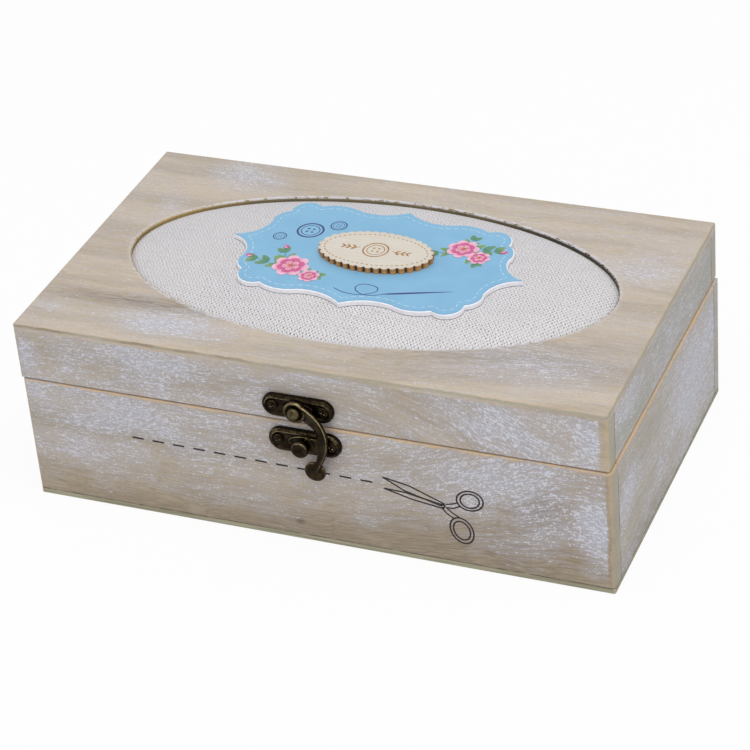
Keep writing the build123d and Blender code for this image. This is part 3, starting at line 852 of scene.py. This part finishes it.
def sprig(root, heading, length, count, size, bud):
    """Stem with pairs of leaves, smaller towards its tip, which may carry a bud."""
    tip = ahead(root, length, heading)
    stem = [root, ahead(root, length * 0.5, heading + 0.2), tip]
    flat_line(drawn["leaf_ink"], stem, 0.35 * mm, deep=0.8)
    for pair in range(count):
        along = (pair + 0.7) / count
        at = ahead(root, length * along, heading + 0.1)
        for side in (-1, 1):
            leaf(drawn["leaf_ink"], at, heading + side * (0.75 - 0.2 * along),
                 size * (1.1 - 0.45 * along), size * 0.42, 1 + 0.25 * next(levels), taper=-0.5,
                 deep=(0.9, 0.1 + 0.4 * (pair % 2)))
    for name, turn, long, wide, level, taper, deep in (bud_leaves if bud else ()):
        leaf(drawn[name], tip, heading + turn, long * size, wide * size, level, taper, deep)


for x, y, heading, length, count, size, bud in (
        (31, 15, 8, 14, 3, 6.5, True), (31, 15, 75, 9, 2, 5.5, False),
        (30, 14, 205, 10, 2, 5.5, True), (34, 12, -52, 9, 2, 5.0, False),
        (-30, -16, 172, 16, 3, 6.5, True), (-30, -16, 118, 12, 2, 6.0, True),
        (-28, -18, -12, 13, 3, 5.5, False)):
    sprig(at_mm(x, y), math.radians(heading), length * mm, count, size * mm, bud)
for x, y, size, turn, lift in ((31, 15, 6.6, 0.2, 0.0), (39.5, 10.5, 4.6, 0.9, 0.5),
                               (-29, -16, 7.6, 0.0, 0.0), (-19, -21, 4.4, 0.5, 0.5)):
    blossom(at_mm(x, y), size * mm, turn, lift)

# Buttons in navy at the upper left, and a threaded needle at the lower right
navy = drawn["navy_ink"]
for x, y, size in ((-33, 11, 5.2), (-23.5, 17.5, 3.2), (-43, 3.5, 2.6)):
    button(navy, at_mm(x, y), size * mm, 0.72, 0.16, 0.22, 1)
eye, point = at_mm(13.5, -25), at_mm(40, -15)
shaft = point - eye
leaf(navy, eye, math.atan2(shaft.y, shaft.x), shaft.length, 1.1 * mm, 1, taper=-1.0)
thread = ((14.5, -24.6), (10, -27), (4, -26), (2, -22), (7, -20), (11, -22.5), (8, -26.5), (0, -28),
          (-6, -26))
flat_line(navy, [at_mm(*p) for p in thread], 0.42 * mm)

# All of it is turned with the plaque and laid on its sheet
for name, bm in drawn.items():
    put(bm, bm.verts, (*plaque_middle.xy, print_z), plaque_turn)
    keep("plaque_" + name, bm, "lid", inks[name])


# Label: birch plywood 2.4 mm thick with a scalloped edge burnt brown by the laser that cut it,
# and a button between two sprigs engraved inside a ring of short burnt dashes.
label_middle, label_half = span("oval_label")
label_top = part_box("oval_label")[1].z
ring_inset = 2.5 * mm
birch, shader, place = surface("laser_cut_birch", {"Roughness": 0.6, "IOR": 1.45})
height = add("SeparateXYZ", (place,)).outputs["Z"]
facing = add("MapRange", (height, label_top - 0.10 * mm, label_top - 0.02 * mm))
fibres = marks(place, 9, 0.4, 0.3, 0.7, 3)
ring, out = in_oval(place, label_middle, label_half)
notch = add("MapRange", (out, 1.0, 0.955))
plies = add("TexWave", {"Vector": place, "Scale": 210.0, "Distortion": 0.0}, bands_direction="Z")
burnt = coats("#CF9558", ("#3A1F0C", notch), ("#6B3D14", plies, 0.30))
scorch = add("MapRange", (out, 0.93, 1.0, 0, 0.5))
face = coats("#DCD6CC", ("#CCC0AE", fibres, 0.6),
             ("#C9A36B", scorch, marks(place, 3, 3, 0.3, 0.7)))
dress(shader, coats(burnt, (face, facing)), fibres, 0.2, 0.05)
give("oval_label", birch)

engraved, shader, place = surface("laser_engraving", {"Roughness": 0.8})
colour = coats("#B98A4E", ("#94642E", marks(place, 1, 1, 0.3, 0.7)))
wire(shader, {"Base Color": colour})
bm = bmesh.new()
oval = around(at_mm(0, 0), label_half.x - ring_inset, label_half.y - ring_inset, 72)
dashes(bm, oval, 1.1 * mm, 0.9 * mm, 0.42 * mm, ink_film)
button(bm, at_mm(0, 0), 5 * mm, 0.7, 0.12, 0.2, 1.5)
stem = ((6.6, 0.6), (10.5, -0.4), (14.6, 1.2))
for side in (-1, 1):
    flat_line(bm, [at_mm(side * along, across) for along, across in stem], 0.32 * mm)
    for along, size in ((8.2, 2.6), (10.6, 2.3), (12.8, 2.0)):
        for way in (-1, 1):
            heading = math.atan2(way * 0.9, side)
            leaf(bm, at_mm(side * along, 0), heading, size * mm, 0.8 * mm, 1, taper=-0.4)
put(bm, bm.verts, (*label_middle.xy, label_top))
keep("label_engraving", bm, "lid", engraved)


# Front print: a dashed cutting line and an open pair of embroidery scissors, in dark brown ink
# stamped on the washed wood. It is drawn in mm from the middle of the box's lower edge.
front_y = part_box("base_front_board")[0].y
dash = 4.85 * mm
dash_pitch = 8.67 * mm
line_width = 0.8 * mm
stroke = 0.72 * mm
blades = (      # outlines
    ((29.6, 36.4), (40, 34.4), (54.0, 28.7), (52.4, 27.6), (38, 31.8)),
    ((29.7, 31.3), (41, 28.3), (53.4, 26.5), (54.2, 28.0), (38, 31.0)),
)
bows = (        # middle, half widths and tilt of the finger rings
    (64.2, 32.0, 5.3, 4.4, 12), (60.3, 17.6, 4.5, 5.9, 18),
)
shanks = (      # from the pivot to the rings
    ((54.4, 28.6), (56.6, 29.2), (59.2, 30.2)), ((54.6, 27.2), (57.2, 27.4), (60.2, 28.9)),
    ((52.8, 26.8), (54.4, 24.8), (57.2, 22.8)), ((54.6, 27.2), (56.6, 25.4), (59.6, 23.6)),
)
stamped, shader, place = surface("stamped_ink", {"Roughness": 0.7})
thin = marks(place, 1.4, 0.4, 0.55, 0.8, 3)
wire(shader, {"Base Color": coats("#261A1E", ("#6A5A55", thin, 0.4))})
bm = bmesh.new()
dashes(bm, [at_mm(-74.9, 35.3), at_mm(29.2, 33.1)], dash, dash_pitch - dash, line_width, ink_film,
       closed=False)
for blade in blades:
    points = [at_mm(*p) for p in blade]
    for pair in zip(points, points[1:] + points[:1]):
        flat_line(bm, pair, stroke)
for x, y, along, across, tilt in bows:
    for share in (1.0, 0.72):
        ring = around(at_mm(x, y), share * along * mm, share * across * mm, 14, math.radians(tilt))
        flat_line(bm, ring, stroke, closed=True)
for shank in shanks:
    flat_line(bm, [at_mm(*p) for p in shank], 0.65 * mm)
flat_line(bm, around(at_mm(53.4, 27.8), 0.8 * mm, 0.8 * mm, 8), 0.45 * mm, closed=True)    # pivot
upright = Matrix.Rotation(math.pi / 2, 3, "X")
bmesh.ops.rotate(bm, verts=bm.verts, matrix=upright)
put(bm, bm.verts, (0, front_y, 0))
keep("front_print", bm, "base", stamped)


# Clasp plates: zinc castings plated with antiqued brass, oval with a rounded rim round a sunk
# field. The field holds a screw at both ends and a raised island between them. They are modelled
# in millimetres, flat on their back, then stood up against the front.
plate_rise = 2.3
plate_round = 1.1
rim_crest = 0.3
field_slope = 0.8
field_depth = 0.9
island_rise = 2.0
plate_grain = 0.13       # of the castings' voxels
screw_grain = 0.08
rubbing = 40             # rounds of smoothing that find what stands proud
screw_head = 2.2         # radius
brass_rubbed_and_lit = "#D3C093"


def antiqued(name, dark="#14100C", brown="#30261A", rub_and_sheen_share=0.9):
    """Brass plating darkened by antiquing and rubbed bright where the casting stands proud, with
    painted highlight where its edges face up towards the lamp.
    """
    material, shader, place = surface(name, {"Metallic": 1.0})
    proud = add("Attribute", attribute_name="proud").outputs["Fac"]
    proud = heap(-0.008, (proud, 1.0), (marks(place, 1.1, 1.1, 0.25, 0.75, 3), 0.03))
    # Rubbed bright: partly real wear on what stands proud, partly painted highlight on upward-facing
    # edges
    worn = add("MapRange", (proud, 0.055, 0.16))
    brushed = add("MapRange", (proud, -0.02, 0.06, -0.3, 0.5))
    patina = add("Math", (marks(place, 2.4, 2.4, 0.35, 0.68, 3), brushed), operation="ADD",
                 use_clamp=True)
    colour = coats(dark, (brown, patina), (brass_rubbed_and_lit, worn, rub_and_sheen_share))
    dress(shader, colour, marks(place, 0.35, 0.35, 0.30, 0.62, 2), 0.22, 0.05,
          Roughness=add("MapRange", (worn, 0, 1, 0.40, 0.26)))
    return material


cast_brass = antiqued("antiqued_cast_brass")
arm_brass = antiqued("antiqued_arm_brass", "#1B150E", "#3A2E1D")
rivet_brass = antiqued("rubbed_rivet_brass", "#352C1F", "#5E543B", 0.55)


def fuse(shape, grain):
    """Melts overlapping shapes into one skin."""
    melted = shape.modifiers.new("fuse", "REMESH")
    melted.mode = "VOXEL"
    melted.voxel_size = grain


def cast(node, bm, centre, body, grain, brass, cut=None, top_sheen=0.0):
    """Fuses overlapping shapes, less what is cut, into one casting with softened edges, stands it
    on the front about its centre and puts it in place of its node. Its rubbed brightness is partly
    real wear on what stands proud and partly painted highlight on faces that look up, towards the
    lamp above. Its last setting is how much more, per mm of height, its upper edge gets that
    painted highlight than its lower one."""
    bmesh.ops.recalc_face_normals(bm, faces=bm.faces)
    whole = meshed(node, bm)
    fuse(whole, grain)
    if cut:
        bmesh.ops.recalc_face_normals(cut, faces=cut.faces)
        tool = meshed("cut", cut)
        fuse(tool, grain)
        whole.modifiers.new("carve", "BOOLEAN").object = tool
        fuse(whole, grain)
    soften = whole.modifiers.new("soften", "SMOOTH")
    soften.factor = 0.5
    soften.iterations = 5
    bm = bmesh.new()
    bm.from_mesh(evaluated(whole))
    if cut:
        bpy.data.objects.remove(tool)
    bm.normal_update()
    proud = bm.verts.layers.float.new("proud")
    highest = max(vertex.co.z for vertex in bm.verts)
    rubbed = bm.copy()
    for turn in range(rubbing):
        bmesh.ops.smooth_vert(rubbed, verts=rubbed.verts, factor=0.5, use_axis_x=True,
                              use_axis_y=True, use_axis_z=True)
    for vertex, low in zip(bm.verts, rubbed.verts):
        reached = min(max((vertex.co.z / highest - 0.66) / 0.12, 0.2), 1.0)
        # Painted highlight: faces that look up, and the upper edge, are made brighter, as the lamp
        # above would light them
        lamp_side_sheen = 0.6 + (0.6 - 6 * top_sheen) * vertex.normal.y + top_sheen * vertex.co.y
        vertex[proud] = (vertex.co - low.co).dot(vertex.normal) * reached * lamp_side_sheen
    rubbed.free()
    put(bm, bm.verts, size=(mm, mm, mm))
    bmesh.ops.rotate(bm, verts=bm.verts, matrix=upright)
    put(bm, bm.verts, (centre.x, front_y, centre.z))
    for face in bm.faces:
        face.smooth = True
    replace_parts(keep(node + "_cast", bm, body, brass), node)


def turned(bm, profile, centre=(0.0, 0.0), sweep=math.tau, start=0.0):
    """Solid turned from a closed outline of radius and height about an upright axis."""
    ring = [bm.verts.new((centre[0] + radius, centre[1], height)) for radius, height in profile]
    middle = (centre[0], centre[1], 0)
    bmesh.ops.rotate(bm, verts=ring, cent=middle, matrix=Matrix.Rotation(start, 3, "Z"))
    if sweep < math.tau:
        bmesh.ops.spin(bm, geom=[bm.faces.new(ring)], axis=(0, 0, 1), cent=middle, steps=20,
                       angle=sweep)
    else:
        closing = list(zip(ring, ring[1:] + ring[:1]))
        if profile[0][0] == 0:
            closing = closing[:-1]
        edges = [bm.edges.new(pair) for pair in closing]
        bmesh.ops.spin(bm, geom=ring + edges, axis=(0, 0, 1), cent=middle, steps=48, angle=sweep,
                       use_merge=True)
    bmesh.ops.remove_doubles(bm, verts=bm.verts, dist=1e-4)


def clasp_plate(node, stud, island, body):
    """Oval plate with an island in its field, and a boss under the arm's eye. Gives its middle."""
    centre, half = span(node)
    bm = bmesh.new()
    ring = bmesh.ops.create_circle(bm, cap_ends=True, segments=64, radius=half.z / mm)["verts"]
    put(bm, ring, turn=math.pi / 64)
    for vertex in ring:
        vertex.co.x += math.copysign((half.x - half.z) / mm, vertex.co.x)
    top = only(bmesh.types.BMVert, bmesh.ops.extrude_face_region(bm, geom=bm.faces[:])["geom"])
    bmesh.ops.translate(bm, verts=top, vec=(0, 0, plate_rise))
    edges = [edge for edge in bm.edges if all(vertex in top for vertex in edge.verts)]
    bmesh.ops.bevel(bm, geom=edges, offset=plate_round, segments=4, profile=0.5, affect="EDGES",
                    material=-1)
    field = [face for face in bm.faces if min(v.co.z for v in face.verts) > plate_rise - 0.01]
    for thickness, depth in ((rim_crest, 0), (field_slope, -field_depth)):
        bmesh.ops.inset_region(bm, faces=field, thickness=thickness, depth=depth,
                               use_even_offset=True)
    raised = bmesh.ops.create_cone(bm, cap_ends=True, segments=64, radius1=1.0, radius2=0.86,
                                   depth=island_rise - 0.4)["verts"]
    put(bm, raised, (0, 0, island_rise / 2 + 0.2), size=(*island, 1))
    if stud:
        turned(bm, ((0, 0.2), (3.7, 0.2), (3.5, 2.6), (3.1, 2.75), (0, 2.75)))
    cast(node, bm, centre, body, plate_grain, cast_brass, top_sheen=0.08)
    return centre


# Screws: pan heads with a cross, sunk in the field and antiqued like the plates
cross = (2.6, 0.55, 1.6)     # length, width and height of each slot's cutter


def field_screws(node, centre, body):
    """Two cross-head screws, one at each end of the field."""
    reach = span(node)[1].x / mm - screw_head
    bm = bmesh.new()
    cut = bmesh.new()
    for number, side in enumerate((-1, 1)):
        middle = (side * reach, 0.0)
        turned(bm, ((0, -4.6), (0.9, -4.0), (1.1, 1.1), (screw_head, 1.1), (2.3, 1.65), (2.05, 2.1),
                    (1.1, 2.2), (0, 2.25)), middle)
        for turn in (0.25 + number, 0.25 + number + math.pi / 2):
            slot = bmesh.ops.create_cube(cut, size=1)["verts"]
            put(cut, slot, (*middle, 2.25), turn, cross)
    cast(node, bm, centre, body, screw_grain, cast_brass, cut)


field_screws("latch_screws", clasp_plate("latch_plate", True, (6.6, 2.9), "lid"), "lid")
field_screws("keeper_screws", clasp_plate("keeper_plate", False, (7.4, 3.1), "base"), "base")

# Stud of the keeper: a thick mushroom cast with its plate, that the arm's tooth hooks round
stud_centre = span("keeper_stud")[0]
bm = bmesh.new()
turned(bm, ((0, 0.2), (2.8, 0.2), (2.5, 2.4), (2.5, 4.5), (3.1, 4.75), (3.4, 5.2), (3.45, 6.7),
            (3.2, 7.3), (2.6, 7.6), (0, 7.4)))
cast("keeper_stud", bm, stud_centre, "base", plate_grain, cast_brass)

# Rivet: brass, with a domed head that holds the arm's eye
pivot_centre = span("latch_rivet")[0]
bm = bmesh.new()
turned(bm, ((0, 0.3), (1.6, 0.3), (1.6, 5.0), (2.4, 5.0), (2.5, 5.5), (2.35, 6.1), (1.9, 6.7),
            (1.1, 7.1), (0, 7.25)))
cast("latch_rivet", bm, pivot_centre, "lid", screw_grain, rivet_brass)

# Arm: one casting of an eye with a raised rim, a bowed arm with a sharp ridge along its outer
# edge that turns into a round rod, a tooth that hooks round the stud, and a finger end.
arm_back = 3.15
# Sections from the rivet on: the outer edge, the inner edge, the ridge's share of the way between
# them, its height above the back, and the inner edge's share of that height
arm_run = (
    ((0.6, 4.45), (2.2, -3.9), 0.07, 1.95, 0.42),
    ((3.1, 3.35), (3.2, -4.8), 0.07, 2.0, 0.42),
    ((5.5, 1.8), (4.2, -5.5), 0.07, 2.05, 0.42),
    ((7.9, -0.2), (5.4, -6.3), 0.08, 2.05, 0.42),
    ((9.9, -2.6), (6.6, -7.4), 0.08, 2.05, 0.42),
    ((11.3, -5.4), (7.2, -8.5), 0.09, 2.05, 0.42),
    ((12.2, -8.6), (7.3, -10.1), 0.09, 2.05, 0.42),
    ((12.5, -11.6), (7.3, -12.4), 0.10, 2.05, 0.42),
    ((12.2, -15.0), (7.4, -15.6), 0.12, 2.05, 0.45),
    ((11.2, -18.3), (7.1, -19.0), 0.16, 2.1, 0.60),
    ((9.8, -21.3), (6.2, -22.2), 0.22, 2.25, 0.80),
    ((8.3, -24.0), (5.1, -25.2), 0.26, 2.3, 0.90),
    ((7.3, -25.6), (4.9, -27.0), 0.28, 2.1, 0.90),
)
finger = (5.9, -26.0)
hook = (stud_centre - pivot_centre) / mm
bm = bmesh.new()
sharp = bm.edges.layers.float.new("crease_edge")
loops = []
crests = []
for outer, inner, crest, rise, shoulder in arm_run:
    section = ((0.0, 0.0), (0.0, 0.55), (crest * 0.35, 0.9), (crest, 1.0),
               (crest + 0.3 * (1 - crest), 0.4 + 0.55 * shoulder), (0.96, shoulder), (1.0, 0.0))
    ring = [bm.verts.new((*Vector(outer).lerp(Vector(inner), across), arm_back + rise * lift))
            for across, lift in section]
    loops.append([bm.edges.new(pair) for pair in zip(ring, ring[1:] + ring[:1])])
    crests.append(ring[3])
for near, far in zip(loops, loops[1:]):
    bmesh.ops.bridge_loops(bm, edges=near + far)
for end in (loops[0], loops[-1]):
    bmesh.ops.contextual_create(bm, geom=end)
for edge in bm.edges:
    if all(vertex in crests for vertex in edge.verts):
        edge[sharp] = 0.7
bmesh.ops.recalc_face_normals(bm, faces=bm.faces)
bow = meshed("arm_bow", bm)
flowing = bow.modifiers.new("flowing", "SUBSURF")
flowing.levels = 3
flowing.render_levels = 3
bm = bmesh.new()
bm.from_mesh(evaluated(bow))
turned(bm, ((2.0, arm_back), (4.5, arm_back), (4.6, 4.3), (4.4, 4.9), (3.9, 5.2), (3.35, 4.95),
            (2.7, 4.4), (2.0, 4.3)))
turned(bm, ((0, 3.0), (3.2, 3.0), (3.9, 3.25), (4.3, 3.9), (4.15, 4.5), (3.6, 4.85), (2.4, 5.0),
            (0, 5.0)), finger)
turned(bm, ((2.65, arm_back), (4.9, arm_back), (4.7, 3.75), (4.2, 4.05), (2.7, 4.1)),
       (hook.x, hook.z), math.radians(102), math.radians(-38))
web = bmesh.ops.create_cube(bm, size=1)["verts"]
put(bm, web, (6.9, -14.6, arm_back + 0.4), size=(3.6, 6.4, 0.8))
cast("latch_arm", bm, pivot_centre, "latch_arm", plate_grain, arm_brass)


# Hinges: pressed brass butt hinges let into the boards at the back, antiqued to match.
pressed_brass = antiqued("antiqued_pressed_brass", "#1C160E", "#54452A", 0.0)
for node in nodes:
    if "hinge" in node:
        give(node, pressed_brass)
